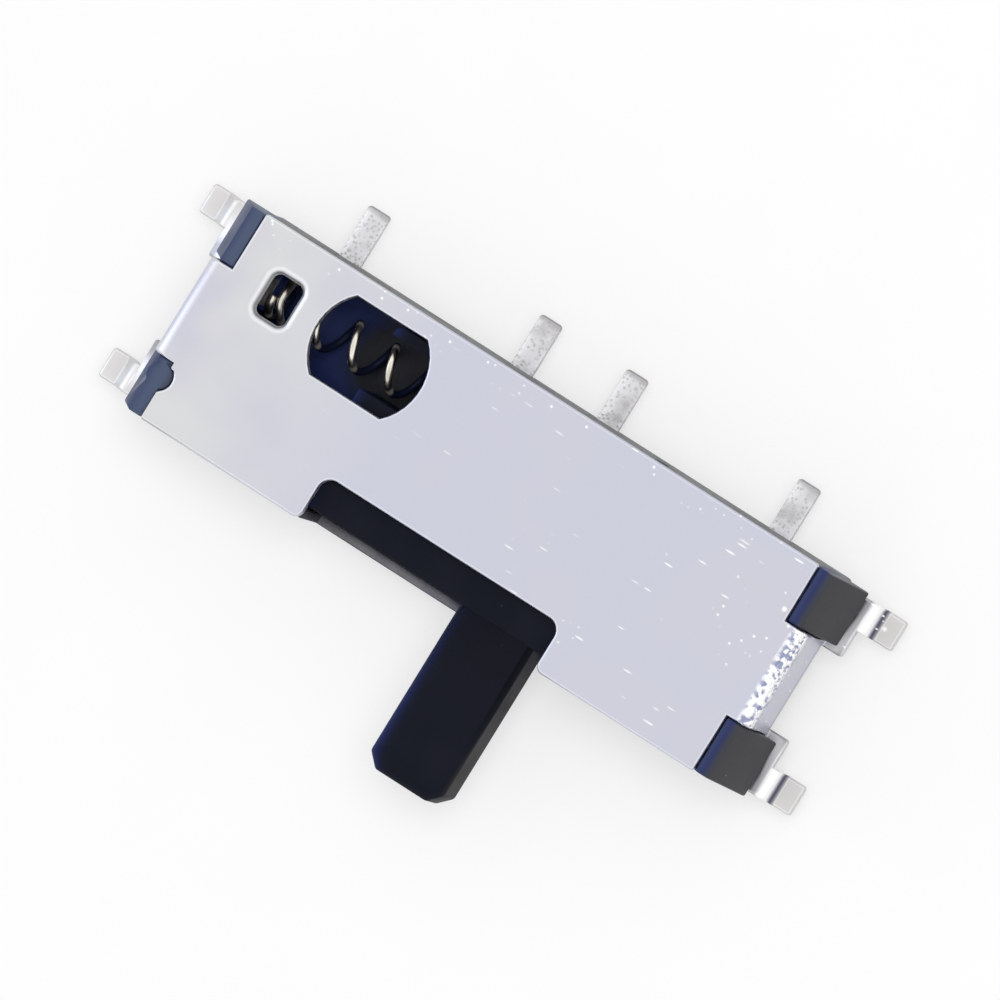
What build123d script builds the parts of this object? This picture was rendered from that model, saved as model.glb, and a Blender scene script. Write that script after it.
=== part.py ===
from build123d import *
import os

os.makedirs("parts", exist_ok=True)

# Spring-return slide switch for surface mounting, in millimetres.
# The origin is on the board under the middle of the body. +X runs along the body to the end where the
# lever rests, +Y to the terminals and +Z up through the metal cover. The lever points to -Y.

# Sheet metal cover
body_length = 10.4
body_width = 3.45
body_height = 1.5
sheet = 0.15
bend_inside = 0.05
cover_gap = 0.02
foot_width = 0.48
foot_pitch = 2.76
foot_bend = 0.1
foot_run = 0.36
foot_slope = 0.16
foot_pad = 0.32
root_width = 0.92
root_height = 0.3
flange_under = 0.4
ear_top = 0.44

# Lever slot and the two windows in the cover, with the tab bent down from the small one. The
# insets are from the left end of the body to the middles of the windows and of the lobe.
slot_length = 4.1
slot_depth = 0.745
slot_corner = 0.2
slot_mouth = 0.13
round_window_inset = 2.78
round_window_diameter = 1.79
round_window_width = 1.31
small_window_inset = 1.2
small_window_length = 0.5
small_window_width = 0.67
small_window_corner = 0.12
tab_under = 0.94
tab_bend = 0.14
lobe_inset = 0.28
lobe_y = -1.06
lobe_radius = 0.22

# Moulded base
floor = 0.35
front_wall = 0.15
back_wall = 0.25
end_wall = 0.2
cavity_corner = 0.15
base_corner = 0.1
sill = 0.42
post_gap = 1.62
post_proud = 0.22
post_ledge = 0.22
post_sunk = 0.05
peg_pitch = 6.0
peg_diameter = 0.72
peg_length = 0.4
peg_chamfer = 0.06
window_length = 0.75
window_width = 0.4
notch_length = 1.15
notch_depth = 0.38
notch_shift = 0.1
mark_x = -4.0
mark_y = 0.33
mark_diameter = 1.15
mark_line = 0.06
mark_depth = 0.02
gate_x = 1.9
gate_diameter = 0.24
gate_depth = 0.04
boss_width = 0.6
boss_gap = 0.02

# Insert-moulded contact strips, whose ends are the terminals
strip = 0.12
terminal_width = 0.36
terminal_reach = 0.82
outer_terminal_pitch = 7.5
inner_terminal_pitch = 1.5
terminal_edge = 0.03
joggle_start = 1.0
joggle_end = 1.24
joggle_bend = 0.08
contact_pitch = 2.66
contact_middle = 0.13
contact_y = -0.76
pad_length = 1.0
pad_width = 0.62
stub_inner = 0.6
stub_outer = 0.85
tie_y = 0.62

# Slider
travel = 2.4
end_gap = 0.08
side_gap = 0.05
lever_width = 1.28
lever_tip = 4.16
lever_under = 0.5
lever_top = 1.26
lever_corner = 0.2
lever_edge = 0.07
arm_setback = 0.16
arm_width = 1.35
ejector_diameter = 0.8
ejector_y = -2.25
ejector_depth = 0.03

# Return spring and its channel
spring_y = 0.77
spring_z = 0.79
spring_diameter = 0.72
spring_wire = 0.12
spring_wire_sides = 8
spring_turns = 8
spring_seat = 0.01
closed_turn_gap = 0.005
channel_width = 0.9
channel_depth = 3.54

# Bridging contact carried by the slider
wiper_sheet = 0.08
wiper_width = 0.7
wiper_seat = 0.84
wiper_flat = 1.3
wiper_lip = 0.24
wiper_lift = 0.1
wiper_slit = 0.14
wiper_bend = 0.12
wiper_gap = 0.02
recess_margin = 0.1
stake_diameter = 0.36
stake_gap = 0.01
stake_proud = 0.05

# Tolerance for finding an edge by its place
near = 0.001

# Levels and faces that the pieces share
cover_under = body_height - sheet
base_half_length = body_length / 2 - sheet - cover_gap
base_half_width = body_width / 2 - cover_gap
cavity_end = base_half_length - end_wall
cavity_front = front_wall - base_half_width
cavity_back = base_half_width - back_wall
post_face = body_length / 2 + post_proud
post_top = body_height - post_sunk
post_under = ear_top + cover_gap
flange_width = post_gap - 2 * cover_gap
notch_edge = cavity_end - cover_gap
slot_back = slot_depth - body_width / 2
contact_under = floor - strip
contact_places = [contact_middle - contact_pitch, contact_middle, contact_middle + contact_pitch]
terminal_tip = body_width / 2 + terminal_reach
carriage_right = cavity_end - end_gap
carriage_left = travel + end_gap - cavity_end
carriage_front = cavity_front + side_gap
carriage_back = cavity_back - side_gap
carriage_under = floor + side_gap
carriage_top = cover_under - side_gap
lever_x = travel / 2
round_window_x = round_window_inset - body_length / 2
small_window_x = small_window_inset - body_length / 2
lobe_x = lobe_inset - body_length / 2
spring_start = small_window_x - small_window_length / 2
spring_end = carriage_left + channel_depth
wiper_x = contact_middle + travel / 2


def bent_strip(corners, plane, width, thickness, radius):
    """Sweeps a flat strip along a line of straight runs with rounded bends, drawn on the given plane."""
    with BuildPart(mode=Mode.PRIVATE) as bent:
        with BuildLine(plane) as route:
            FilletPolyline(*corners, radius=radius)
        start = Plane(origin=route.line @ 0, x_dir=plane.z_dir, z_dir=route.line % 0)
        with BuildSketch(start):
            Rectangle(width, thickness)
        sweep(path=route.line)
    return bent.part


# Contact strips: a terminal outside, a step up through the floor, a pad inside and the cut tie at the front


def contact_strip(pad_x, terminals):
    """Makes one stamped strip from its pad's place and the places of the terminals that it ends in."""
    leg_corners = [
        (joggle_start - terminal_width, contact_under + strip / 2),
        (joggle_start, contact_under + strip / 2),
        (joggle_end, strip / 2),
        (terminal_tip, strip / 2),
    ]
    tie_edge = contact_y - pad_width / 2
    tied = len(terminals) > 1
    with BuildPart() as contact:
        with BuildSketch(Plane.XY.offset(contact_under)):
            with Locations((pad_x, contact_y)):
                Rectangle(pad_length, pad_width)
            with BuildLine():
                Polyline(
                    (pad_x - stub_inner / 2, tie_edge),
                    (pad_x + notch_shift - stub_outer / 2, -base_half_width),
                    (pad_x + notch_shift + stub_outer / 2, -base_half_width),
                    (pad_x + stub_inner / 2, tie_edge),
                    close=True,
                )
            make_face()
            # A pad with one terminal is reached from the side, one with two by a bar between them.
            bar_y = tie_y if tied else contact_y
            ends = terminals if tied else [terminals[0], pad_x]
            with Locations(((ends[0] + ends[-1]) / 2, bar_y)):
                Rectangle(abs(ends[-1] - ends[0]) + terminal_width, terminal_width)
            if tied:
                with Locations((pad_x, contact_y)):
                    Rectangle(terminal_width, bar_y - contact_y, align=(Align.CENTER, Align.MIN))
            for terminal in terminals:
                with Locations((terminal, bar_y)):
                    Rectangle(terminal_width, joggle_start - bar_y, align=(Align.CENTER, Align.MIN))
        extrude(amount=strip)
        for terminal in terminals:
            plane = Plane.YZ.offset(terminal)
            add(bent_strip(leg_corners, plane, terminal_width, strip, joggle_bend))
        chamfer(contact.faces().sort_by(Axis.Y)[-len(terminals):].edges(), terminal_edge)
    return contact


contact_left = contact_strip(contact_places[0], [-outer_terminal_pitch / 2])
contact_common = contact_strip(
    contact_places[1], [-inner_terminal_pitch / 2, inner_terminal_pitch / 2]
)
contact_right = contact_strip(contact_places[2], [outer_terminal_pitch / 2])

# Base: one moulding with the floor, walls, corner posts and locating pegs

with BuildPart() as base_housing:
    with BuildSketch():
        RectangleRounded(2 * base_half_length, 2 * base_half_width, base_corner)
    extrude(amount=cover_under)
    # Corner posts stand through the cover, lean outwards and hook over the ears of its feet.
    with BuildSketch(Plane.XZ.offset(post_gap / 2)):
        Polygon(
            (cavity_end, post_under),
            (post_face, post_under),
            (cavity_end + post_ledge, post_top),
            (cavity_end, post_top),
            align=None,
        )
    front_post = extrude(amount=base_half_width - post_gap / 2)
    back_post = mirror(front_post, about=Plane.XZ)
    mirror([front_post, back_post], about=Plane.YZ)
    # Cavity for the slider
    with BuildSketch(Plane.XY.offset(floor)):
        with Locations((0, (cavity_front + cavity_back) / 2)):
            RectangleRounded(2 * cavity_end, cavity_back - cavity_front, cavity_corner)
    extrude(amount=cover_under - floor, mode=Mode.SUBTRACT)
    # Opening for the lever, above a low sill
    with BuildSketch(Plane.XY.offset(sill)):
        with Locations((0, -base_half_width)):
            Rectangle(slot_length, 2 * front_wall)
    extrude(amount=cover_under - sill, mode=Mode.SUBTRACT)
    # Round pillar beside the front left post, seen through the lobe in the cover
    with BuildSketch(Plane.XY.offset(floor)):
        with Locations((lobe_x, lobe_y)):
            Circle(lobe_radius - cover_gap)
    extrude(amount=post_top - floor)
    # Block under the cover's tab, which takes the lower part of the spring's push
    with BuildSketch(Plane.XY.offset(floor)):
        with Locations((-cavity_end, spring_y)):
            Rectangle(cavity_end + spring_start, boss_width, align=(Align.MIN, Align.CENTER))
    extrude(amount=tab_under - boss_gap - floor)
    # Locating pegs under the floor
    with BuildSketch():
        with GridLocations(peg_pitch, 0, 2, 1):
            Circle(peg_diameter / 2)
    extrude(amount=-peg_length)
    chamfer(base_housing.faces().group_by(Axis.Z)[0].edges(), peg_chamfer)
    # Windows and front notches that held the strips in the mould
    with BuildSketch():
        for place in contact_places:
            with Locations((place, contact_y)):
                Rectangle(window_length, window_width)
            with Locations((place + notch_shift, -base_half_width)):
                Rectangle(notch_length, notch_depth, align=(Align.CENTER, Align.MIN))
    extrude(amount=contact_under, mode=Mode.SUBTRACT)
    # Round mould mark in the underside and the gate's scar in the back wall
    with BuildSketch():
        with Locations((mark_x, mark_y)):
            Circle(mark_diameter / 2)
            Circle(mark_diameter / 2 - mark_line, mode=Mode.SUBTRACT)
    extrude(amount=mark_depth, mode=Mode.SUBTRACT)
    with BuildSketch(Plane.XZ.offset(-base_half_width)):
        with Locations((gate_x, body_height / 2)):
            Circle(gate_diameter / 2)
    extrude(amount=gate_depth, mode=Mode.SUBTRACT)
    for inserted in (contact_left, contact_common, contact_right):
        add(inserted.part, mode=Mode.SUBTRACT)

# Cover: one folded sheet with bent ends, four solder feet, the lever slot and two windows

with BuildPart() as metal_cover:
    # One corner foot and its wider root under the post, then the other three by mirroring
    middle = sheet / 2
    ears_width = foot_pitch + foot_width
    slope_start = body_length / 2 + foot_run
    pad_start = slope_start + foot_slope
    root_corners = [
        (body_length / 2 - middle, ear_top),
        (body_length / 2 - middle, root_height),
        (slope_start - foot_bend / 2, root_height),
    ]
    foot_corners = [
        (slope_start - 2 * foot_bend, root_height),
        (slope_start, root_height),
        (pad_start, middle),
        (pad_start + foot_pad, middle),
    ]
    root_plane = Plane.XZ.offset((root_width - ears_width) / 2)
    add(bent_strip(root_corners, root_plane, root_width, sheet, foot_bend))
    foot_plane = Plane.XZ.offset(-foot_pitch / 2)
    add(bent_strip(foot_corners, foot_plane, foot_width, sheet, foot_bend))
    mirror(about=Plane.XZ)
    # End wall between the posts, widened below them to carry the feet
    with BuildSketch(Plane.YZ.offset(body_length / 2 - sheet)):
        with Locations((0, flange_under)):
            Rectangle(ears_width, ear_top - flange_under, align=(Align.CENTER, Align.MIN))
            Rectangle(flange_width, body_height - flange_under, align=(Align.CENTER, Align.MIN))
    extrude(amount=sheet)
    mirror(about=Plane.YZ)
    # Top plate with notches for the four posts
    with BuildSketch(Plane.XY.offset(cover_under)):
        Rectangle(2 * notch_edge, body_width)
        Rectangle(body_length, flange_width)
        # Lever slot in the front edge
        with Locations((0, slot_back)):
            Rectangle(
                slot_length, slot_depth, align=(Align.CENTER, Align.MAX), mode=Mode.SUBTRACT
            )
        # Lobe beside the front left notch
        with Locations((lobe_x, lobe_y)):
            Circle(lobe_radius, mode=Mode.SUBTRACT)
        # Round window with two flats
        with BuildSketch(mode=Mode.PRIVATE) as round_window:
            with Locations((round_window_x, spring_y)):
                Circle(round_window_diameter / 2)
                Rectangle(round_window_diameter, round_window_width, mode=Mode.INTERSECT)
        add(round_window.sketch, mode=Mode.SUBTRACT)
        with Locations((small_window_x, spring_y)):
            RectangleRounded(
                small_window_length, small_window_width, small_window_corner, mode=Mode.SUBTRACT
            )
    extrude(amount=sheet)
    # Tab bent down at the small window's end, which the spring pushes against
    with BuildSketch(Plane.XY.offset(tab_under)):
        with Locations((spring_start, spring_y)):
            tab_width = small_window_width - 2 * small_window_corner
            Rectangle(sheet, tab_width, align=(Align.MAX, Align.CENTER))
    extrude(amount=body_height - tab_under)
    tab_rim = metal_cover.edges().filter_by(Axis.Y).group_by(Axis.Z)[-1]
    fillet(tab_rim.filter_by_position(Axis.X, spring_start - near, spring_start + near), tab_bend)
    for corner_y, corner_radius in ((slot_back, slot_corner), (-body_width / 2, slot_mouth)):
        uprights = metal_cover.edges().filter_by(Axis.Z)
        slot_sides = uprights.filter_by_position(Axis.Y, corner_y - near, corner_y + near)
        fillet(
            slot_sides.filter_by(lambda e: abs(abs(e.center().X) - slot_length / 2) < near),
            corner_radius,
        )
    along = metal_cover.edges().filter_by(Axis.Y).group_by(Axis.Z)[-1]
    fillet(along.group_by(Axis.X)[0] + along.group_by(Axis.X)[-1], sheet + bend_inside)

# Slider: the lever and the carriage that it stands on, in one moulding

with BuildPart() as slider:
    arm_back = carriage_front + arm_width
    with BuildSketch(Plane.XY.offset(carriage_under)):
        with Locations((carriage_right, carriage_back)):
            Rectangle(
                carriage_right - carriage_left, carriage_back - arm_back, align=(Align.MAX, Align.MAX)
            )
        with Locations((carriage_right, carriage_front)):
            Rectangle(
                carriage_right - carriage_left - arm_setback, arm_width, align=(Align.MAX, Align.MIN)
            )
    extrude(amount=carriage_top - carriage_under)
    corners = slider.edges().filter_by(Axis.Z)
    fillet(corners.group_by(Axis.Y)[0] + corners.group_by(Axis.Y)[-1], cavity_corner)
    # Lever with clipped tip corners and eased edges
    with BuildSketch(Plane.XY.offset(lever_under)):
        with Locations((lever_x, -lever_tip)):
            Rectangle(lever_width, lever_tip + arm_back, align=(Align.CENTER, Align.MIN))
    extrude(amount=lever_top - lever_under)
    tip = slider.faces().sort_by(Axis.Y)[0]
    chamfer(tip.edges().filter_by(Axis.Z), lever_corner)
    lever_sides = slider.faces().filter_by(lambda f: f.center().Y < carriage_front - near)
    rims = lever_sides.filter_by(Axis.Z).edges()
    chamfer(rims.filter_by(lambda e: e.center().Y < carriage_front - near), lever_edge)
    # Ejector mark in the lever's underside
    with BuildSketch(Plane.XY.offset(lever_under)):
        with Locations((lever_x, ejector_y)):
            Circle(ejector_diameter / 2)
    extrude(amount=ejector_depth, mode=Mode.SUBTRACT)
    # Open channel that the spring lies in and the tab and its block enter
    with BuildSketch(Plane.XY.offset(carriage_under)):
        with Locations((carriage_left, spring_y)):
            Rectangle(channel_depth, channel_width, align=(Align.MIN, Align.CENTER))
    extrude(amount=carriage_top - carriage_under, mode=Mode.SUBTRACT)
    # Recess for the bridging contact, with the stake that holds it
    with BuildSketch(Plane.XY.offset(carriage_under)):
        with Locations((wiper_x, contact_y)):
            Rectangle(
                contact_pitch + 2 * wiper_lip + 2 * recess_margin, wiper_width + 2 * recess_margin
            )
    extrude(amount=wiper_seat - carriage_under, mode=Mode.SUBTRACT)
    with BuildSketch(Plane.XY.offset(wiper_seat)):
        with Locations((wiper_x, contact_y)):
            Circle(stake_diameter / 2)
    extrude(amount=-wiper_sheet - stake_proud)

# Bridging contact: a bowed leaf with two forked arms

with BuildPart() as bridge_contact:
    half_pitch = contact_pitch / 2
    low = floor + wiper_gap + wiper_sheet / 2
    high = wiper_seat - wiper_sheet / 2
    wiper_corners = [
        (wiper_x - half_pitch - wiper_lip, low + wiper_lift),
        (wiper_x - half_pitch, low),
        (wiper_x - wiper_flat / 2, high),
        (wiper_x + wiper_flat / 2, high),
        (wiper_x + half_pitch, low),
        (wiper_x + half_pitch + wiper_lip, low + wiper_lift),
    ]
    wiper_plane = Plane.XZ.offset(-contact_y)
    add(bent_strip(wiper_corners, wiper_plane, wiper_width, wiper_sheet, wiper_bend))
    with BuildSketch(Plane.XY.offset(floor)):
        with Locations((wiper_x, contact_y)):
            Rectangle(contact_pitch + 2 * (wiper_lip + recess_margin), wiper_slit)
            Rectangle(wiper_flat, wiper_slit, mode=Mode.SUBTRACT)
            Circle(stake_diameter / 2 + stake_gap)
    extrude(amount=wiper_seat - floor, mode=Mode.SUBTRACT)

# Return spring: an open coil with a closed turn at each end, between the cover's tab and the end of the
# slider's channel. The wire is drawn with a few flat sides.

with BuildPart() as return_spring:
    coil_radius = (spring_diameter - spring_wire) / 2
    coil_start = spring_start + spring_seat + spring_wire / 2
    coil_end = spring_end - spring_seat - spring_wire / 2
    closed_pitch = spring_wire + closed_turn_gap
    open_length = coil_end - coil_start - 2 * closed_pitch
    stretches = [
        (coil_start, closed_pitch, closed_pitch),
        (coil_start + closed_pitch, open_length, open_length / spring_turns),
        (coil_end - closed_pitch, closed_pitch, closed_pitch),
    ]
    with BuildLine() as coil:
        for start, length, pitch in stretches:
            Helix(pitch, length, coil_radius, center=(start, spring_y, spring_z), direction=(1, 0, 0))
    first_turn = coil.edges().sort_by(Axis.X)[0]
    with BuildSketch(Plane(origin=first_turn @ 0, z_dir=first_turn % 0)):
        RegularPolygon(spring_wire / 2, spring_wire_sides)
    sweep(path=coil.line, is_frenet=True, transition=Transition.ROUND)

pieces = {
    "base_housing": base_housing,
    "metal_cover": metal_cover,
    "slider": slider,
    "bridge_contact": bridge_contact,
    "return_spring": return_spring,
    "contact_left": contact_left,
    "contact_common": contact_common,
    "contact_right": contact_right,
}
for name, piece in pieces.items():
    piece.part.label = name
    export_step(piece.part, f"parts/{name}.step")
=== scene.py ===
"""Looks of a spring-return slide switch: plated cover, moulded base, lever, strips and spring."""

import logging
import math
from dataclasses import dataclass, field
from enum import Enum
from typing import Iterable

import bmesh
import bpy
from mathutils import Matrix, Vector


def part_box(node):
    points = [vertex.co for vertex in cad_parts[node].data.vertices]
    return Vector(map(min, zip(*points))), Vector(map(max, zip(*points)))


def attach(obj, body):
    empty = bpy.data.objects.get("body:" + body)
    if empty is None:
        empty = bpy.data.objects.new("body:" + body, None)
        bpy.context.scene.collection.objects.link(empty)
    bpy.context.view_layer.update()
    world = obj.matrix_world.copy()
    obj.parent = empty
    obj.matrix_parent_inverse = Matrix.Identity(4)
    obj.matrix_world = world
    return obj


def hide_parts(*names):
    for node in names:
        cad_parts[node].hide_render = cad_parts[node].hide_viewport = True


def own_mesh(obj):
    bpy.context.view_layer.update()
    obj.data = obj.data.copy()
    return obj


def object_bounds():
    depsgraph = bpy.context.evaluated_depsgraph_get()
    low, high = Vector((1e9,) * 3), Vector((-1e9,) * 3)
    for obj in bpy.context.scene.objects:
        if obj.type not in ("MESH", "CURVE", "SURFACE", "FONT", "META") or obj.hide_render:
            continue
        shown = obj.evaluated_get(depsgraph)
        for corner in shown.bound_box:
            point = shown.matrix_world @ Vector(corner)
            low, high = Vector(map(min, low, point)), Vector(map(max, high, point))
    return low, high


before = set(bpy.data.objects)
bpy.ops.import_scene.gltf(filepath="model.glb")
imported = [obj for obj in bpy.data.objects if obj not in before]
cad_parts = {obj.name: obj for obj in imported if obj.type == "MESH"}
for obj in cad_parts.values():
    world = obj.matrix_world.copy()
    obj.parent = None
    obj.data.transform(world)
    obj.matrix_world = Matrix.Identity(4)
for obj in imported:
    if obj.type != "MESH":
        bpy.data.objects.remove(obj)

CAD_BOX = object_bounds()
MM = 0.001
LOG = logging.getLogger("slide_switch")

Triple = tuple[float, float, float]
Span = tuple[float, float]


class Body(str, Enum):
    """The rigid bodies that pieces ride on."""

    HOUSING = "housing"
    SLIDER = "slider"


class Slot(str, Enum):
    """The record's material slots."""

    COVER = "cover_steel"
    HOUSING = "housing_plastic"
    SLIDER = "slider_plastic"
    TERMINAL = "terminal_plating"
    LEAF = "contact_brass"
    SPRING = "spring_steel"


class Noise(str, Enum):
    """The procedural patterns that a finish is mixed from."""

    CLOUD = "ShaderNodeTexNoise"
    CELLS = "ShaderNodeTexVoronoi"


@dataclass
class Recipe:
    """A material under construction: its node tree and the one shader that it ends in."""

    name: str
    material: bpy.types.Material = field(init=False)

    def __post_init__(self) -> None:
        """Makes the material with its output, its shader and the object's own coordinates."""
        self.material = bpy.data.materials.new(self.name)
        self.material.use_nodes = True
        self.tree = self.material.node_tree
        self.tree.nodes.clear()
        self.output = self.add("ShaderNodeOutputMaterial")
        self.shader = self.add("ShaderNodeBsdfPrincipled")
        self.join(self.shader, "BSDF", self.output, "Surface")
        self.place = self.add("ShaderNodeTexCoord")

    def add(self, kind: str) -> bpy.types.Node:
        """Adds a node of that kind."""
        return self.tree.nodes.new(kind)

    def join(self, source: bpy.types.Node, out: str | int, target: bpy.types.Node, into: str | int) -> None:
        """Links one node's output to another's input."""
        self.tree.links.new(source.outputs[out], target.inputs[into])

    def pattern(
        self, kind: Noise, per_mm: float, stretch: Triple = (1, 1, 1), detail: float = 3.0, turn: float = 0.0
    ) -> bpy.types.Node:
        """Adds a pattern in the object's own space.

        Args:
            kind: Which pattern it is.
            per_mm: How many of its features lie along one millimetre.
            stretch: Factors along X, Y and Z, where less than one draws the pattern out.
            detail: Octaves of the cloud pattern.
            turn: Degrees that the pattern is turned by about Z.

        Returns:
            The texture node.
        """
        mapping = self.add("ShaderNodeMapping")
        mapping.inputs["Scale"].default_value = [per_mm / MM * s for s in stretch]
        mapping.inputs["Rotation"].default_value[2] = math.radians(turn)
        self.join(self.place, "Object", mapping, "Vector")
        texture = self.add(kind.value)
        texture.inputs["Scale"].default_value = 1.0
        if kind is Noise.CLOUD:
            texture.inputs["Detail"].default_value = detail
        self.join(mapping, "Vector", texture, "Vector")
        return texture

    def ramp(self, source: bpy.types.Node, out: str, low: float, high: float) -> bpy.types.Node:
        """Makes a mask that rises from zero to one between two levels of a node's output."""
        spread = self.add("ShaderNodeMapRange")
        spread.inputs["From Min"].default_value = low
        spread.inputs["From Max"].default_value = high
        self.join(source, out, spread, "Value")
        return spread

    def along(self, axis: str, low: float, high: float, mirrored: bool = False) -> bpy.types.Node:
        """Makes a mask from a coordinate, or from its size on both sides.

        Args:
            axis: X, Y or Z.
            low: Where the mask is zero, in millimetres.
            high: Where the mask is one, in millimetres.
            mirrored: Whether both sides of the middle are masked alike.

        Returns:
            The mask node.
        """
        split = self.add("ShaderNodeSeparateXYZ")
        self.join(self.place, "Object", split, "Vector")
        if not mirrored:
            return self.ramp(split, axis, low * MM, high * MM)
        size = self.add("ShaderNodeMath")
        size.operation = "ABSOLUTE"
        self.join(split, axis, size, 0)
        return self.ramp(size, "Value", low * MM, high * MM)

    def facing(self, direction: Triple, radius: float, low: float, high: float) -> bpy.types.Node:
        """Makes a mask of the skin, its edges taken as rounded, that faces a direction.

        Args:
            direction: The direction, in the object's own space.
            radius: How much the edges count as rounded, in millimetres.
            low: Cosine of the angle at which the mask is zero.
            high: Cosine of the angle at which the mask is one.

        Returns:
            The mask node.
        """
        rounded = self.add("ShaderNodeBevel")
        rounded.samples = 6
        rounded.inputs["Radius"].default_value = radius * MM
        dot = self.add("ShaderNodeVectorMath")
        dot.operation = "DOT_PRODUCT"
        dot.inputs[1].default_value = direction
        self.join(rounded, "Normal", dot, 0)
        return self.ramp(dot, "Value", low, high)

    def around(self, centre: Span, low: float, high: float) -> bpy.types.Node:
        """Makes a mask from the distance to an upright line.

        Args:
            centre: X and Y of the line, in millimetres.
            low: The distance at which the mask is zero, in millimetres.
            high: The distance at which the mask is one.

        Returns:
            The mask node.
        """
        away = self.add("ShaderNodeVectorMath")
        away.operation = "SUBTRACT"
        self.join(self.place, "Object", away, 0)
        away.inputs[1].default_value = (centre[0] * MM, centre[1] * MM, 0)
        flat = self.add("ShaderNodeVectorMath")
        flat.operation = "MULTIPLY"
        flat.inputs[1].default_value = (1, 1, 0)
        self.join(away, 0, flat, 0)
        length = self.add("ShaderNodeVectorMath")
        length.operation = "LENGTH"
        self.join(flat, 0, length, 0)
        return self.ramp(length, "Value", low * MM, high * MM)

    def both(self, first: bpy.types.Node, second: bpy.types.Node, how: str = "MULTIPLY") -> bpy.types.Node:
        """Joins two masks into one.

        Args:
            first: The first mask.
            second: The second mask.
            how: The operation, which multiplies them unless another is named.

        Returns:
            The joined mask.
        """
        product = self.add("ShaderNodeMath")
        product.operation = how
        product.use_clamp = True
        self.join(first, 0, product, 0)
        self.join(second, 0, product, 1)
        return product

    def tint(self, base: bpy.types.Node | Triple, other: Triple, mask: bpy.types.Node) -> bpy.types.Node:
        """Mixes a second colour over a first where the mask is white.

        Args:
            base: The first colour, or the mixing node that gives it.
            other: The second colour, linear.
            mask: A node whose first output lies between zero and one.

        Returns:
            The mixing node.
        """
        mix = self.add("ShaderNodeMix")
        mix.data_type = "RGBA"
        if isinstance(base, bpy.types.Node):
            self.tree.links.new(base.outputs[2], mix.inputs[6])
        else:
            mix.inputs[6].default_value = (*base, 1)
        mix.inputs[7].default_value = (*other, 1)
        self.tree.links.new(mask.outputs[0], mix.inputs[0])
        return mix

    def paint(self, colour: bpy.types.Node) -> None:
        """Sends a mixed colour to the shader."""
        self.tree.links.new(colour.outputs[2], self.shader.inputs["Base Color"])

    def span(self, mask: bpy.types.Node, levels: Span, into: str) -> None:
        """Drives one of the shader's numbers by a mask.

        Args:
            mask: The mask.
            levels: The number where the mask is zero, and where it is one.
            into: The name of the shader's socket.
        """
        spread = self.add("ShaderNodeMapRange")
        spread.inputs["To Min"].default_value, spread.inputs["To Max"].default_value = levels
        self.join(mask, 0, spread, "Value")
        self.join(spread, "Result", self.shader, into)

    def relief(self, layers: Iterable[tuple[bpy.types.Node, float]]) -> None:
        """Adds bump to the shader from several patterns or masks.

        Args:
            layers: Each a node, whose first output is the height, and a depth in millimetres.
        """
        below = None
        for source, depth in layers:
            bump = self.add("ShaderNodeBump")
            bump.inputs["Distance"].default_value = depth * MM
            self.join(source, 0, bump, "Height")
            if below is not None:
                self.join(below, "Normal", bump, "Normal")
            below = bump
        self.join(below, "Normal", self.shader, "Normal")


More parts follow.
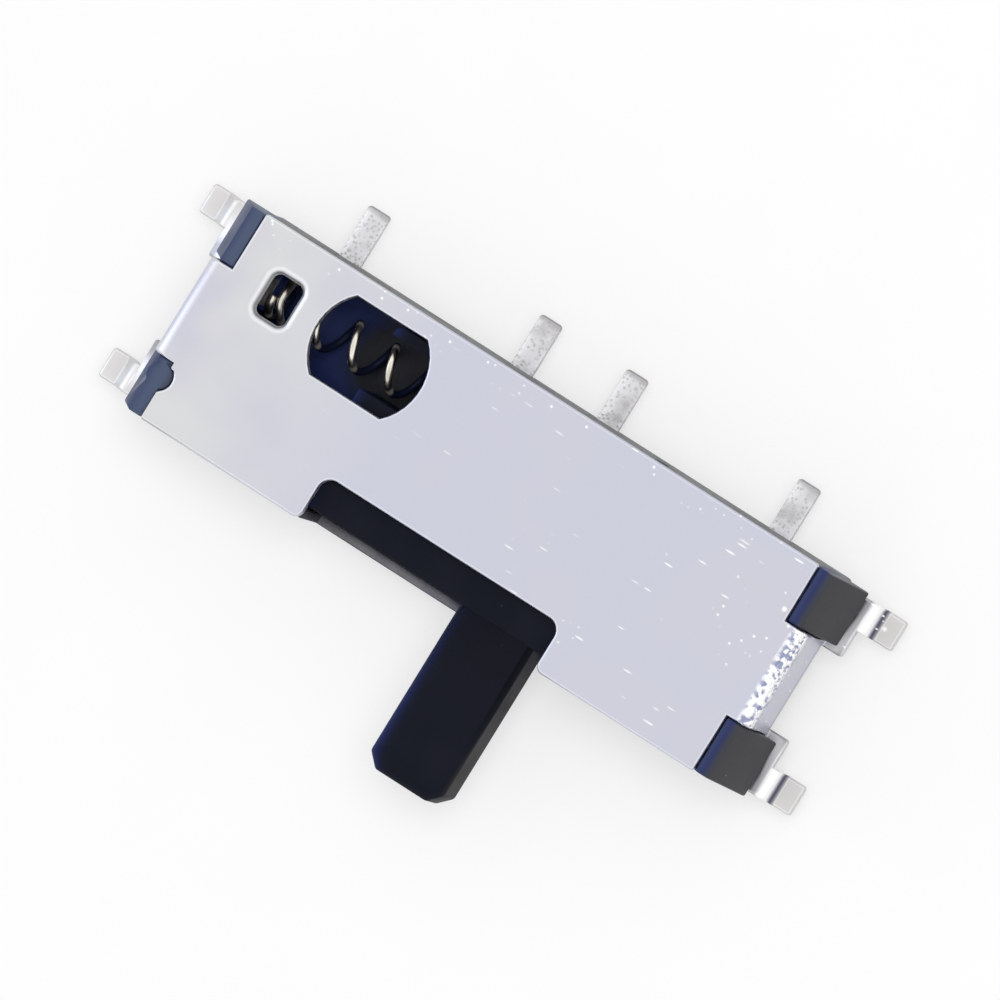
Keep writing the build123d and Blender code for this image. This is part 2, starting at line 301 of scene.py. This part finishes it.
@dataclass(frozen=True)
class PlatedSheet:
    """Finish of the cover: satin plated steel with specks, short scratches and one mottled bend.

    The mottle on the right bend is painted highlight and shade, the paler left end is painted light, and the
    right feet carry painted shade on their roots and grooves and a painted highlight on their slope. These
    and the pale pads stay where they are when the light moves.
    """

    colour: Triple = (0.60, 0.61, 0.70)
    # painted light on the left end
    warm_light: Triple = (0.70, 0.705, 0.70)
    cloud: Triple = (0.615, 0.615, 0.69)
    # bright specks and scratches, and the painted highlights on the right bend and the feet's slope
    speck_and_highlight: Triple = (0.97, 0.97, 0.98)
    # painted shade in the mottle on the right bend
    bend_shade: Triple = (0.30, 0.33, 0.48)
    pad: Triple = (0.66, 0.65, 0.645)
    # painted shade on the right feet's roots and grooves
    root_shade: Triple = (0.40, 0.40, 0.42)
    groove_shade: Triple = (0.12, 0.12, 0.17)
    satin: float = 0.38
    matte: float = 0.85
    warm_x: Span = (-1.5, -4.6)
    bend_x: Span = (4.96, 5.04)
    bend_z: Span = (1.26, 1.38)
    inner_x: Span = (4.96, 4.91)
    inner_y: Span = (1.4, 1.3)
    inner_z: Span = (1.44, 1.34)
    foot_z: Span = (0.55, 0.45)
    foot_x: Span = (5.4, 5.5)
    root_x: Span = (5.1, 5.3)
    slope_x: Span = (5.48, 5.54)
    groove_x: Span = (5.66, 5.70)
    pad_x: Span = (5.72, 5.76)
    dusty_x: Span = (-1.0, 4.5)
    dusty_y: Span = (1.35, 1.6)
    scratched_x: Span = (-3.0, 2.0)
    scratches: tuple[Span, ...] = ((62.0, 3.4), (-38.0, 2.6), (15.0, 2.9))

    def make(self) -> bpy.types.Material:
        """Builds the material.

        Returns:
            The finished material.
        """
        recipe = Recipe("plated_sheet")
        blotch = recipe.pattern(Noise.CLOUD, 0.5, detail=2.0)
        grain = recipe.pattern(Noise.CLOUD, 9.0, (0.3, 1, 1), 3.0)
        crumbs = recipe.pattern(Noise.CLOUD, 12.0, detail=3.0)
        bend = recipe.both(recipe.along("X", *self.bend_x), recipe.along("Z", *self.bend_z))
        # painted light: the left end is paler
        base = recipe.tint(self.colour, self.warm_light, recipe.along("X", *self.warm_x))
        base = recipe.tint(base, self.cloud, recipe.ramp(blotch, "Fac", 0.45, 0.65))
        marks = recipe.both(self.specks(recipe), self.scored(recipe), "MAXIMUM")
        base = self.feet(recipe, base)
        # painted shade and painted highlight mottled over the right bend
        base = recipe.tint(base, self.bend_shade, recipe.both(recipe.ramp(crumbs, "Fac", 0.47, 0.41), bend))
        base = recipe.tint(base, self.speck_and_highlight, recipe.both(recipe.ramp(crumbs, "Fac", 0.46, 0.52), bend))
        recipe.paint(recipe.tint(base, self.speck_and_highlight, marks))
        under = recipe.both(recipe.along("Z", *self.inner_z), self.inside(recipe))
        recipe.span(under, (1.0, 0.1), "Metallic")
        recipe.span(under, (self.satin, self.matte), "Roughness")
        crumpled = recipe.both(recipe.ramp(crumbs, "Fac", 0.35, 0.65), bend)
        recipe.relief([(grain, 0.0003), (marks, 0.002), (crumpled, 0.022)])
        return recipe.material

    def inside(self, recipe: Recipe) -> bpy.types.Node:
        """Makes the mask of what lies inside the cover's bends and its front wall."""
        across = recipe.along("Y", *self.inner_y, mirrored=True)
        return recipe.both(recipe.along("X", *self.inner_x, mirrored=True), across)

    def feet(self, recipe: Recipe, base: bpy.types.Node) -> bpy.types.Node:
        """Tints the feet: pale pads, and on the right painted shade on the roots, a painted highlight on the
        slope and painted shade in the grooves.

        Args:
            recipe: The material under construction.
            base: The node that gives the colour so far.

        Returns:
            The node that gives the tinted colour.
        """
        low = recipe.along("Z", *self.foot_z)
        base = recipe.tint(base, self.pad, recipe.both(low, recipe.along("X", *self.foot_x, mirrored=True)))
        # painted shade on the roots and in the grooves, and a painted highlight on the slope
        bands = (
            (self.root_shade, self.root_x), (self.speck_and_highlight, self.slope_x), (self.groove_shade, self.groove_x),
            (self.pad, self.pad_x),
        )
        for colour, place in bands:
            base = recipe.tint(base, colour, recipe.both(low, recipe.along("X", *place)))
        return base

    def specks(self, recipe: Recipe) -> bpy.types.Node:
        """Makes the mask of fine bright specks, thicker at the right end and along the back edge.

        Args:
            recipe: The material under construction.

        Returns:
            The mask node.
        """
        coarse = recipe.pattern(Noise.CELLS, 1.1)
        fine = recipe.pattern(Noise.CELLS, 6.0)
        where = recipe.pattern(Noise.CLOUD, 0.8)
        dots = recipe.ramp(coarse, "Distance", 0.055, 0.025)
        dust = recipe.ramp(fine, "Distance", 0.16, 0.08)
        right = recipe.along("X", *self.dusty_x)
        back = recipe.along("Y", *self.dusty_y)
        patches = recipe.both(recipe.ramp(where, "Fac", 0.52, 0.62), right)
        rim = recipe.both(recipe.both(patches, back, "MAXIMUM"), dust)
        return recipe.both(dots, rim, "MAXIMUM")

    def scored(self, recipe: Recipe) -> bpy.types.Node:
        """Makes the mask of short bright scratches in three directions.

        Args:
            recipe: The material under construction.

        Returns:
            The mask node.
        """
        found = None
        for turn, per_mm in self.scratches:
            cells = recipe.pattern(Noise.CELLS, per_mm, (0.34, 1.9, 1), turn=turn)
            line = recipe.ramp(cells, "Distance", 0.10, 0.05)
            found = line if found is None else recipe.both(found, line, "MAXIMUM")
        worn = recipe.ramp(recipe.pattern(Noise.CLOUD, 0.6), "Fac", 0.44, 0.52)
        return recipe.both(found, recipe.both(worn, recipe.along("X", *self.scratched_x)))


@dataclass(frozen=True)
class MouldedPlastic:
    """Finish of a moulding: dark matte plastic with a fine skin and scuffs.

    What faces left carries painted bluish light and what faces right painted warmer light. Both stay
    where they are when the light moves.
    """

    name: str
    colour: Triple
    scuff: Triple
    cool_light: Triple
    gloss: float
    roughness: Span
    cool_radius: float = 0.2
    scuff_per_mm: float = 1.1
    # painted warmer light on what faces right
    warm_light: Triple = (0.034, 0.030, 0.031)

    def make(self) -> bpy.types.Material:
        """Builds the material.

        Returns:
            The finished material.
        """
        recipe = Recipe(self.name)
        blotch = recipe.pattern(Noise.CLOUD, self.scuff_per_mm, detail=6.0)
        skin = recipe.pattern(Noise.CLOUD, 16.0)
        flecks = recipe.pattern(Noise.CELLS, 2.3)
        marks = recipe.ramp(blotch, "Fac", 0.45, 0.72)
        base = recipe.tint(self.colour, self.scuff, marks)
        # painted warmer light on what faces right
        base = recipe.tint(base, self.warm_light, recipe.facing((1, 0, 0), 0.02, 0.6, 1.1))
        base = self.zones(recipe, base)
        # painted bluish light on what faces left
        base = recipe.tint(base, self.cool_light, recipe.facing((-1, 0, 0), self.cool_radius, 0.05, 0.6))
        dots = recipe.ramp(flecks, "Distance", 0.06, 0.03)
        recipe.paint(recipe.tint(base, tuple(3 * c for c in self.scuff), dots))
        recipe.shader.inputs["Specular IOR Level"].default_value = self.gloss
        recipe.span(marks, self.roughness, "Roughness")
        recipe.relief([(skin, 0.003), (blotch, 0.012)])
        return recipe.material

    def zones(self, recipe: Recipe, base: bpy.types.Node) -> bpy.types.Node:
        """Tints the parts of the moulding that differ, of which a plain moulding has none."""
        return base


@dataclass(frozen=True)
class BasePlastic(MouldedPlastic):
    """Finish of the base: painted shade inside, and painted light and reflection on its back wall, underside,
    posts and round-window ring.
    """

    name: str = "base_plastic"
    colour: Triple = (0.033, 0.036, 0.050)
    scuff: Triple = (0.052, 0.056, 0.074)
    # painted bluish light on what faces left
    cool_light: Triple = (0.03, 0.046, 0.12)
    gloss: float = 0.3
    roughness: Span = (0.45, 0.6)
    # painted shade inside, and a painted reflection on the ring under the round window
    inner_shade: Triple = (0.005, 0.006, 0.011)
    navy_reflection: Triple = (0.010, 0.018, 0.080)
    # painted light on the back wall, the left posts and the underside, and a painted highlight on the right
    # posts' tops
    back: Triple = (0.12, 0.123, 0.13)
    left: Triple = (0.062, 0.084, 0.15)
    strip: Triple = (0.014, 0.022, 0.095)
    underside_light: Triple = (0.080, 0.085, 0.122)
    inner_x: Span = (4.75, 4.7)
    inner_y: Span = (1.4, 1.3)
    floor_z: Span = (0.12, 0.16)
    roof_z: Span = (1.1, 0.9)
    window: Span = (-2.30, 0.77)
    window_reach: Span = (0.52, 0.80)
    ring_x: Span = (-1.2, -2.4)
    back_y: Span = (1.4, 1.5)
    skirt_z: Span = (0.3, 0.1)
    peg_z: Span = (-0.2, -0.1)
    post_z: Span = (0.42, 0.5)
    left_x: Span = (-4.70, -4.85)
    strip_x: Span = (4.74, 4.78)
    strip_end_x: Span = (5.02, 4.94)
    facing: Span = (0.5, 0.9)
    edge: float = 0.02

    def zones(self, recipe: Recipe, base: bpy.types.Node) -> bpy.types.Node:
        """Paints shade inside, a reflection on the ring under the round window, and light on the back, the
        underside and the posts.

        Args:
            recipe: The material under construction.
            base: The node that gives the colour so far.

        Returns:
            The node that gives the tinted colour.
        """
        deep_shade = recipe.both(recipe.along("Z", *self.floor_z), recipe.along("Z", *self.roof_z))
        inside = recipe.both(
            recipe.along("X", *self.inner_x, mirrored=True), recipe.along("Y", *self.inner_y, mirrored=True)
        )
        inside = recipe.both(inside, deep_shade)
        # painted shade inside the base
        base = recipe.tint(base, self.inner_shade, inside)
        ring = recipe.both(inside, recipe.around(self.window, *self.window_reach))
        # painted reflection on the ring under the round window
        base = recipe.tint(base, self.navy_reflection, recipe.both(ring, recipe.along("X", *self.ring_x)))
        # painted light on the back wall
        back = recipe.both(recipe.facing((0, 1, 0), self.edge, *self.facing), recipe.along("Y", *self.back_y))
        base = recipe.tint(base, self.back, back)
        # painted light on the underside
        below = recipe.both(recipe.along("Z", *self.skirt_z), recipe.along("Z", *self.peg_z))
        below = recipe.both(recipe.facing((0, 0, -1), self.edge, *self.facing), below)
        base = recipe.tint(base, self.underside_light, below)
        above = recipe.along("Z", *self.post_z)
        # painted bluish light on the left posts
        base = recipe.tint(base, self.left, recipe.both(above, recipe.along("X", *self.left_x)))
        # painted blue highlight on the tops of the right posts
        strip = recipe.both(recipe.along("X", *self.strip_x), recipe.along("X", *self.strip_end_x))
        return recipe.tint(base, self.strip, recipe.both(above, strip))


@dataclass(frozen=True)
class LeverPlastic(MouldedPlastic):
    """Finish of the lever and its carriage: nearly black and dull."""

    name: str = "lever_plastic"
    colour: Triple = (0.005, 0.006, 0.012)
    scuff: Triple = (0.008, 0.009, 0.015)
    # painted bluish light on what faces left
    cool_light: Triple = (0.015, 0.023, 0.095)
    gloss: float = 0.08
    roughness: Span = (0.5, 0.65)
    cool_radius: float = 0.3


@dataclass(frozen=True)
class PaleSill(MouldedPlastic):
    """Finish of the sill that the lever passes over: the base's plastic, paler, taken as rubbed."""

    name: str = "pale_sill"
    colour: Triple = (0.16, 0.16, 0.18)
    scuff: Triple = (0.24, 0.24, 0.26)
    # painted bluish light on what faces left
    cool_light: Triple = (0.1, 0.11, 0.15)
    gloss: float = 0.5
    roughness: Span = (0.35, 0.5)
    scuff_per_mm: float = 3.0


@dataclass(frozen=True)
class PlatedStrip:
    """Finish of bright strip metal: dimpled plating with cloudy wear and a darker cut end."""

    name: str
    colour: Triple
    worn: Triple
    cut: Triple
    roughness: Span
    dimple_depth: float = 0.006
    cut_y: Span = (2.44, 2.53)

    def make(self) -> bpy.types.Material:
        """Builds the material.

        Returns:
            The finished material.
        """
        recipe = Recipe(self.name)
        dimple = recipe.pattern(Noise.CLOUD, 6.0, detail=2.0)
        cloud = recipe.pattern(Noise.CLOUD, 2.6)
        fine = recipe.pattern(Noise.CELLS, 17.0)
        worn = recipe.ramp(cloud, "Fac", 0.48, 0.7)
        base = recipe.tint(self.colour, self.worn, worn)
        base = recipe.tint(base, self.worn, recipe.ramp(fine, "Distance", 0.50, 0.22))
        recipe.paint(recipe.tint(base, self.cut, recipe.along("Y", *self.cut_y)))
        recipe.shader.inputs["Metallic"].default_value = 1.0
        recipe.span(worn, self.roughness, "Roughness")
        recipe.relief([(dimple, self.dimple_depth), (recipe.ramp(fine, "Distance", 0.1, 0.5), 0.002)])
        return recipe.material


@dataclass(frozen=True)
class TerminalPlating(PlatedStrip):
    """Finish of the contact strips and their terminals: bright plating."""

    name: str = "plated_strip"
    colour: Triple = (0.72, 0.715, 0.74)
    worn: Triple = (0.53, 0.52, 0.53)
    cut: Triple = (0.36, 0.35, 0.36)
    roughness: Span = (0.30, 0.44)


@dataclass(frozen=True)
class BronzeLeaf(PlatedStrip):
    """Finish of the leaf under the carriage: bare copper alloy."""

    name: str = "bronze_leaf"
    colour: Triple = (0.72, 0.47, 0.24)
    worn: Triple = (0.52, 0.32, 0.16)
    cut: Triple = (0.6, 0.4, 0.2)
    roughness: Span = (0.2, 0.4)
    dimple_depth: float = 0.004


@dataclass(frozen=True)
class SpringWire:
    """Finish of the spring: bright drawn wire with fine die lines.

    Its lower half carries painted shade, dark and dull. The real wire is taken to be bright all round.
    """

    colour: Triple = (0.74, 0.70, 0.62)
    shade: Triple = (0.48, 0.43, 0.36)
    # painted shade on the lower half of the wire
    deep_shade: Triple = (0.007, 0.009, 0.025)
    roughness: Span = (0.30, 0.42)
    deep_z: Span = (1.0, 0.88)

    def make(self) -> bpy.types.Material:
        """Builds the material.

        Returns:
            The finished material.
        """
        recipe = Recipe("spring_wire")
        lines = recipe.pattern(Noise.CLOUD, 14.0, (1, 0.3, 0.3))
        cloud = recipe.pattern(Noise.CLOUD, 2.0)
        dull = recipe.ramp(cloud, "Fac", 0.5, 0.7)
        base = recipe.tint(self.colour, self.shade, dull)
        # painted shade on the lower half of the wire
        deep_shade = recipe.along("Z", *self.deep_z)
        recipe.paint(recipe.tint(base, self.deep_shade, deep_shade))
        recipe.span(deep_shade, (1.0, 0.0), "Metallic")
        recipe.shader.inputs["Specular IOR Level"].default_value = 0.1
        recipe.span(dull, self.roughness, "Roughness")
        recipe.relief([(lines, 0.002)])
        return recipe.material


@dataclass(frozen=True)
class StudioPaper:
    """Finish of the floor: white paper, about half of whose brightness for the camera is a glow."""

    colour: Triple = (0.97, 0.97, 0.97)
    fleck: Triple = (0.96, 0.96, 0.96)
    glow: float = 0.55

    def make(self) -> bpy.types.Material:
        """Builds the material.

        Returns:
            The finished material.
        """
        recipe = Recipe("studio_paper")
        fibre = recipe.pattern(Noise.CLOUD, 0.5)
        recipe.paint(recipe.tint(self.colour, self.fleck, recipe.ramp(fibre, "Fac", 0.4, 0.6)))
        recipe.shader.inputs["Specular IOR Level"].default_value = 0.0
        recipe.shader.inputs["Roughness"].default_value = 0.9
        seen = recipe.add("ShaderNodeLightPath")
        glow = recipe.add("ShaderNodeEmission")
        glow.inputs["Strength"].default_value = 1.0
        share = recipe.add("ShaderNodeMath")
        share.operation = "MULTIPLY"
        share.inputs[1].default_value = self.glow
        recipe.join(seen, "Is Camera Ray", share, 0)
        blend = recipe.add("ShaderNodeMixShader")
        recipe.join(share, 0, blend, 0)
        recipe.join(recipe.shader, "BSDF", blend, 1)
        recipe.join(glow, "Emission", blend, 2)
        recipe.join(blend, "Shader", recipe.output, "Surface")
        return recipe.material


@dataclass
class EasedSolid:
    """A rigid solid of the frame with its sharp edges rounded, dressed in one finish.

    Lengths are in millimetres and angles in degrees. An edge is rounded where it turns by more
    than the given angle, its faces reach face_room times the radius from it, and the edges that
    leave it sideways are edge_room times the radius long.
    """

    node: str
    body: Body
    slot: Slot
    radius: float
    turn: float = 25.0
    steps: int = 3
    weld: float = 1e-4
    flat: float = 1.0
    face_room: float = 2.2
    edge_room: float = 2.0
    aside: float = 0.5
    piece: bpy.types.Object = field(init=False)

    def build(self) -> "EasedSolid":
        """Makes the stand-in: the solid's own form with rounded edges, in the solid's place.

        Returns:
            The same solid, ready to be dressed.
        """
        work = bmesh.new()
        work.from_mesh(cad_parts[self.node].data)
        work.transform(Matrix.Scale(1 / MM, 4))
        bmesh.ops.remove_doubles(work, verts=work.verts, dist=self.weld)
        bmesh.ops.dissolve_limit(
            work, angle_limit=math.radians(self.flat), verts=work.verts, edges=work.edges, delimit=set()
        )
        self.ease(work)
        work.transform(Matrix.Scale(MM, 4))
        mesh = bpy.data.meshes.new(f"{self.node}_eased")
        work.to_mesh(mesh)
        work.free()
        self.piece = bpy.data.objects.new(mesh.name, mesh)
        bpy.context.scene.collection.objects.link(self.piece)
        weigh = self.piece.modifiers.new("flat_faces", "WEIGHTED_NORMAL")
        weigh.weight = 100
        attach(self.piece, self.body.value)
        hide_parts(self.node)
        return self

    def ease(self, work: bmesh.types.BMesh) -> None:
        """Rounds the outward edges that turn by more than the least angle and have the room.

        Args:
            work: The mesh, in millimetres.
        """
        limit = math.radians(self.turn)
        sharp = [
            edge for edge in work.edges
            if edge.is_convex and edge.calc_face_angle(0) > limit and self.has_room(edge)
        ]
        bmesh.ops.bevel(
            work, geom=sharp, offset=self.radius, offset_type="OFFSET", segments=self.steps,
            profile=0.5, affect="EDGES", clamp_overlap=False,
        )
        for face in work.faces:
            face.smooth = True

    def has_room(self, edge: bmesh.types.BMEdge) -> bool:
        """Tells whether the faces and the edges that meet an edge leave room to round it.

        Args:
            edge: An edge of the mesh, in millimetres.

        Returns:
            Whether its faces reach far enough, and no short edge leaves it sideways.
        """
        along = (edge.verts[1].co - edge.verts[0].co).normalized()
        for face in edge.link_faces:
            reach = max((vert.co - edge.verts[0].co).cross(along).length for vert in face.verts)
            if reach < self.face_room * self.radius:
                return False
        for vert in edge.verts:
            for other in vert.link_edges:
                step = other.other_vert(vert).co - vert.co
                across = step.cross(along).length
                sideways = other is not edge and across > self.aside * step.length
                if sideways and step.length < self.edge_room * self.radius:
                    return False
        return True

    def dress(self, finish: bpy.types.Material) -> None:
        """Gives the stand-in its finish."""
        self.piece.data.materials.append(finish)


@dataclass
class MouldedBase(EasedSolid):
    """The base, whose sill under the lever has a paler finish of its own."""

    sill_level: float = 0.42
    sill_back: float = -1.5
    sill_play: float = 0.01
    sill_facing: float = 0.9

    def dress(self, finish: bpy.types.Material) -> None:
        """Gives the base its finish, and the sill the paler one.

        Args:
            finish: The finish of the whole base.
        """
        super().dress(finish)
        self.piece.data.materials.append(PaleSill().make())
        for face in self.piece.data.polygons:
            level = abs(face.center.z / MM - self.sill_level) < self.sill_play
            if level and face.normal.z > self.sill_facing and face.center.y / MM < self.sill_back:
                face.material_index = 1


@dataclass
class ReturnSpring:
    """The coil spring: round wire with a closed turn at each end."""

    turns: int = 8
    wire: float = 0.12
    closed_gap: float = 0.005
    seat: float = 0.01
    steps: int = 40
    sides: int = 14
    travel: float = 2.4
    node: str = "return_spring"
    piece: bpy.types.Object = field(init=False)

    def build(self) -> "ReturnSpring":
        """Makes the coil in the solid's place.

        Returns:
            The same spring, ready to be dressed.
        """
        low, high = (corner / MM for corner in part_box(self.node))
        rings = [self.ring(*point) for point in self.line(low, high)]
        mesh = bpy.data.meshes.new("return_spring_wire")
        count = self.sides
        last = (len(rings) - 1) * count
        faces = [
            (row + j, row + (j + 1) % count, row + count + (j + 1) % count, row + count + j)
            for row in range(0, last, count)
            for j in range(count)
        ]
        faces += [tuple(range(count))[::-1], tuple(range(last, last + count))]
        mesh.from_pydata([v * MM for ring in rings for v in ring], [], faces)
        mesh.polygons.foreach_set("use_smooth", [True] * (len(faces) - 2) + [False] * 2)
        self.piece = bpy.data.objects.new(mesh.name, mesh)
        bpy.context.scene.collection.objects.link(self.piece)
        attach(self.piece, Body.HOUSING.value)
        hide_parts(self.node)
        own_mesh(self.piece)
        return self

    def line(self, low: Vector, high: Vector) -> list[tuple[Vector, Vector]]:
        """Works out the coil's centreline.

        Args:
            low: The solid's lowest corner, in millimetres.
            high: The solid's highest corner.

        Returns:
            For each step the point on the axis and the point on the line.
        """
        centre_y, centre_z = (low.y + high.y) / 2, (low.z + high.z) / 2
        reach = (high.z - low.z) / 2 - self.wire / 2
        closed = self.wire + self.closed_gap
        start, end = low.x + self.wire / 2, high.x - self.wire / 2
        pitch = (end - start - 2 * closed) / self.turns
        points = []
        for step in range((self.turns + 2) * self.steps + 1):
            turn = step / self.steps
            shift = min(turn, 1) * closed
            shift += min(max(turn - 1, 0), self.turns) * pitch + max(turn - 1 - self.turns, 0) * closed
            angle = 2 * math.pi * turn
            axis = Vector((start + shift, centre_y, centre_z))
            points.append((axis, axis + Vector((0, -math.sin(angle), math.cos(angle))) * reach))
        return points

    def ring(self, axis: Vector, centre: Vector) -> list[Vector]:
        """Draws the wire's round section at one step of the line.

        Args:
            axis: The point on the coil's axis.
            centre: The point on the wire's centreline.

        Returns:
            The section's corners, in millimetres.
        """
        out = (centre - axis).normalized()
        side = Vector((1, 0, 0))
        share = 2 * math.pi / self.sides
        return [
            centre + (out * math.cos(i * share) + side * math.sin(i * share)) * self.wire / 2
            for i in range(self.sides)
        ]

    def dress(self, finish: bpy.types.Material) -> None:
        """Gives the spring its finish."""
        self.piece.data.materials.append(finish)


@dataclass(frozen=True)
class Lamp:
    """A square soft lamp aimed at the switch, placed in metres."""

    name: str
    place: Triple
    size: float
    level: float
    colour: Triple
    mirrored: bool

    def hang(self) -> None:
        """Hangs the lamp, with the power that gives the switch its level of light."""
        light = bpy.data.lights.new(self.name, "AREA")
        light.shape = "SQUARE"
        light.size = self.size
        light.color = self.colour
        spot = Vector(self.place)
        light.energy = self.level * math.pi**2 * spot.length_squared
        holder = bpy.data.objects.new(self.name, light)
        holder.location = spot
        holder.visible_glossy = self.mirrored
        holder.rotation_mode = "QUATERNION"
        holder.rotation_quaternion = spot.to_track_quat("Z", "Y")
        bpy.context.scene.collection.objects.link(holder)


@dataclass
class Studio:
    """White floor, soft light and the camera.

    The camera's directions were measured in the photo. A band is a height on the sky, from the
    horizon to straight up, and how bright a reflection of it is.
    """

    right: Triple = (0.8183, 0.5229, -0.2381)
    up: Triple = (-0.5137, 0.8551, 0.0720)
    aim: Span = (-0.0515, -0.0106)
    view_width: float = 14.294
    distance: float = 0.5
    sensor: float = 36.0
    floor_size: float = 1.2
    soft_light: float = 0.60
    bands: tuple[Span, ...] = ((0.0, 0.66), (0.22, 0.85), (0.45, 1.45), (0.72, 1.45), (0.88, 1.0))
    lamps: tuple[Lamp, ...] = (
        Lamp("key", (0.07, 0.04, 0.29), 0.16, 0.46, (1.0, 0.99, 0.98), False),
        Lamp("cool_light", (-0.24, -0.06, 0.07), 0.14, 0.12, (0.62, 0.74, 1.0), True),
    )

    def build(self) -> None:
        """Makes the floor, the world, the lamps and the camera."""
        self.lay_floor()
        self.light_world()
        for lamp in self.lamps:
            lamp.hang()
        self.place_camera()

    def lay_floor(self) -> None:
        """Lays the white floor under the pegs."""
        lowest, half = CAD_BOX[0].z, self.floor_size / 2
        mesh = bpy.data.meshes.new("floor")
        square = ((-half, -half), (half, -half), (half, half), (-half, half))
        mesh.from_pydata([(x, y, lowest) for x, y in square], [], [(0, 1, 2, 3)])
        mesh.materials.append(StudioPaper().make())
        floor = bpy.data.objects.new("floor", mesh)
        bpy.context.scene.collection.objects.link(floor)

    def light_world(self) -> None:
        """Lights the world evenly, and shows it brighter to the camera and banded in reflections."""
        world = bpy.data.worlds.new("studio")
        world.use_nodes = True
        tree = world.node_tree
        tree.nodes.clear()
        paths = tree.nodes.new("ShaderNodeLightPath")
        place = tree.nodes.new("ShaderNodeTexCoord")
        split = tree.nodes.new("ShaderNodeSeparateXYZ")
        sky = tree.nodes.new("ShaderNodeValToRGB")
        for index, (level, bright) in enumerate(self.bands):
            stop = sky.color_ramp.elements[index] if index < 2 else sky.color_ramp.elements.new(level)
            stop.position = level
            stop.color = (bright, bright, bright, 1)
        tree.links.new(place.outputs["Generated"], split.inputs[0])
        tree.links.new(split.outputs["Z"], sky.inputs[0])
        views = [self.view(tree, self.soft_light), self.view(tree, 1.0), self.view(tree, 1.0)]
        tree.links.new(sky.outputs[0], views[2].inputs["Color"])
        background = views[0].outputs[0]
        for ray, view in (("Is Camera Ray", views[1]), ("Is Glossy Ray", views[2])):
            mix = tree.nodes.new("ShaderNodeMixShader")
            tree.links.new(paths.outputs[ray], mix.inputs[0])
            tree.links.new(background, mix.inputs[1])
            tree.links.new(view.outputs[0], mix.inputs[2])
            background = mix.outputs[0]
        output = tree.nodes.new("ShaderNodeOutputWorld")
        tree.links.new(background, output.inputs["Surface"])
        bpy.context.scene.world = world

    @staticmethod
    def view(tree: bpy.types.NodeTree, strength: float) -> bpy.types.Node:
        """Adds a white background to the world's tree.

        Args:
            tree: The world's node tree.
            strength: How bright the background is.

        Returns:
            The background node.
        """
        background = tree.nodes.new("ShaderNodeBackground")
        background.inputs["Color"].default_value = (1, 1, 1, 1)
        background.inputs["Strength"].default_value = strength
        return background

    def place_camera(self) -> None:
        """Sets the camera at the photograph's angle and aims it at the middle of the switch."""
        across = Vector(self.right).normalized()
        up = Vector(self.up)
        up = (up - across * across.dot(up)).normalized()
        back = across.cross(up)
        data = bpy.data.cameras.new("camera")
        data.sensor_width = self.sensor
        data.lens = self.sensor * self.distance / (self.view_width * MM)
        data.clip_start = self.distance / 10
        data.clip_end = self.distance * 10
        camera = bpy.data.objects.new("camera", data)
        target = (across * self.aim[0] + up * self.aim[1]) * MM
        turned = Matrix((across, up, back)).transposed().to_4x4()
        camera.matrix_world = Matrix.Translation(target + back * self.distance) @ turned
        bpy.context.scene.collection.objects.link(camera)
        bpy.context.scene.camera = camera


@dataclass
class SlideSwitch:
    """The whole switch: every solid's stand-in with its finish."""

    cover: EasedSolid = field(
        default_factory=lambda: EasedSolid("metal_cover", Body.HOUSING, Slot.COVER, 0.045)
    )
    base: MouldedBase = field(
        default_factory=lambda: MouldedBase("base_housing", Body.HOUSING, Slot.HOUSING, 0.03)
    )
    slider: EasedSolid = field(default_factory=lambda: EasedSolid("slider", Body.SLIDER, Slot.SLIDER, 0.03))
    leaf: EasedSolid = field(
        default_factory=lambda: EasedSolid("bridge_contact", Body.SLIDER, Slot.LEAF, 0.01, steps=2)
    )
    strips: tuple[EasedSolid, ...] = field(
        default_factory=lambda: tuple(
            EasedSolid(f"contact_{place}", Body.HOUSING, Slot.TERMINAL, 0.015, steps=2)
            for place in ("left", "common", "right")
        )
    )
    spring: ReturnSpring = field(default_factory=ReturnSpring)

    def build(self) -> list[bpy.types.Object]:
        """Makes and dresses every piece.

        Returns:
            The pieces, from the cover inwards.
        """
        self.cover.build().dress(PlatedSheet().make())
        self.base.build().dress(BasePlastic().make())
        self.slider.build().dress(LeverPlastic().make())
        plated = TerminalPlating().make()
        for strip in self.strips:
            strip.build().dress(plated)
        self.leaf.build().dress(BronzeLeaf().make())
        self.spring.build().dress(SpringWire().make())
        solids = (self.cover, self.base, self.slider, *self.strips, self.leaf, self.spring)
        return [solid.piece for solid in solids]


def main() -> None:
    """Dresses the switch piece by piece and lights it."""
    logging.basicConfig(level=logging.INFO)
    bpy.context.scene.view_settings.view_transform = "Standard"
    for piece in SlideSwitch().build():
        LOG.info("%s dressed, %d faces", piece.name, len(piece.data.polygons))
    Studio().build()
    LOG.info("studio lit")


if __name__ == "__main__":
    main()
